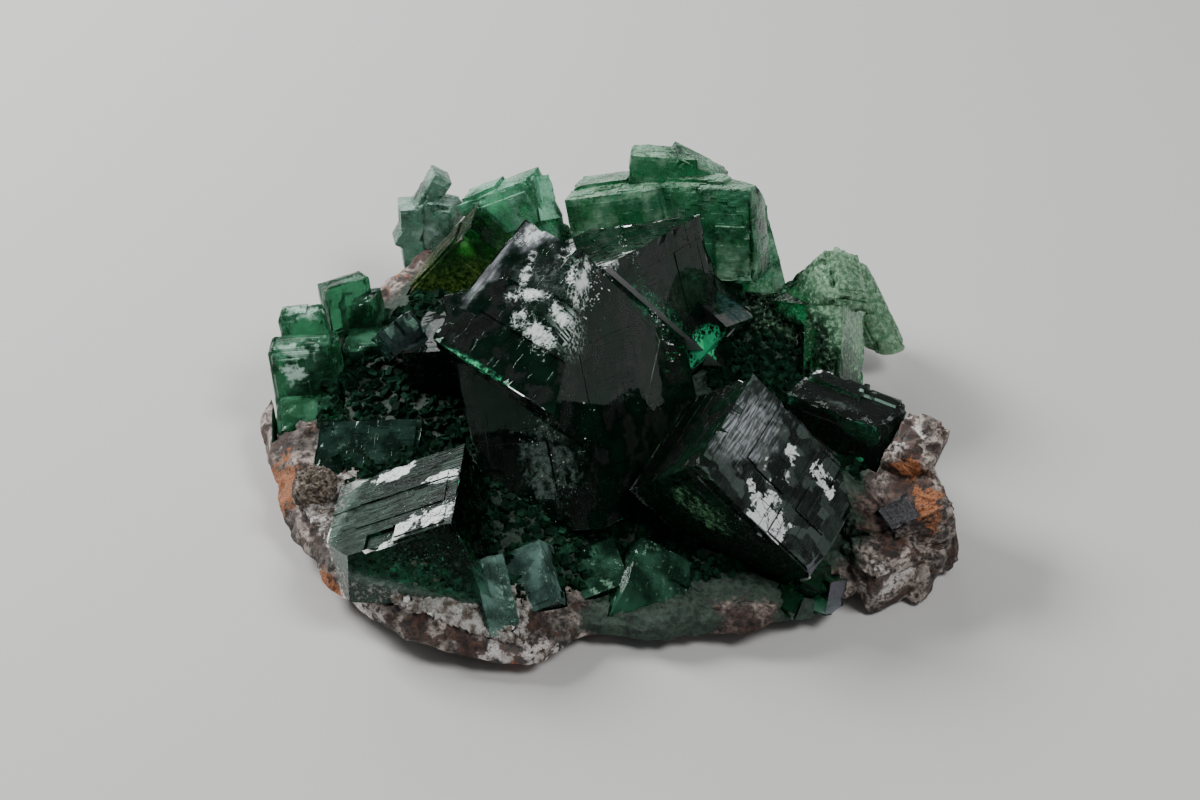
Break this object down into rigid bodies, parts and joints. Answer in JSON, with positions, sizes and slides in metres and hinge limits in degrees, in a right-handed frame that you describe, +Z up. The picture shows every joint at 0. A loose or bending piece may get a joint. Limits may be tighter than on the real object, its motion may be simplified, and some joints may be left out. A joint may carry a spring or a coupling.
{
  "type": "fluorite cluster",
  "caption": "Cluster of dark green fluorite cubes, grown through each other and standing on a thin, flat-bottomed plate of pale rock.",
  "frame": {"origin": "on the flat underside of the rock plate, below the large crystals", "axes": "+X to the right along the specimen's length, +Y to the back, +Z up from the surface it lies on"},
  "size_m": [0.0693, 0.0607, 0.0275],
  "materials": {
    "dark_fluorite": "glossy",
    "green_fluorite": "satin",
    "pale_fluorite": "satin",
    "ore": "glossy",
    "nodule": "matte",
    "rock": "matte"
  },
  "bodies": {
    "root": {"centre_twin": "dark_fluorite", "right_cube": "dark_fluorite", "left_cube": "dark_fluorite", "right_dark_crystal": "dark_fluorite", "front_wedge": "dark_fluorite", "front_prism": "green_fluorite", "front_left_prism": "green_fluorite", "low_left_crystal": "green_fluorite", "left_edge_cubes": "green_fluorite", "upper_left_crystal": "green_fluorite", "back_row": "green_fluorite", "mint_cubes": "pale_fluorite", "pale_cubes": "pale_fluorite", "right_pale_crystal": "pale_fluorite", "ore_crystal": "ore", "pitted_nodule": "nodule", "matrix_rock": "rock"}
  },
  "joints": []
}
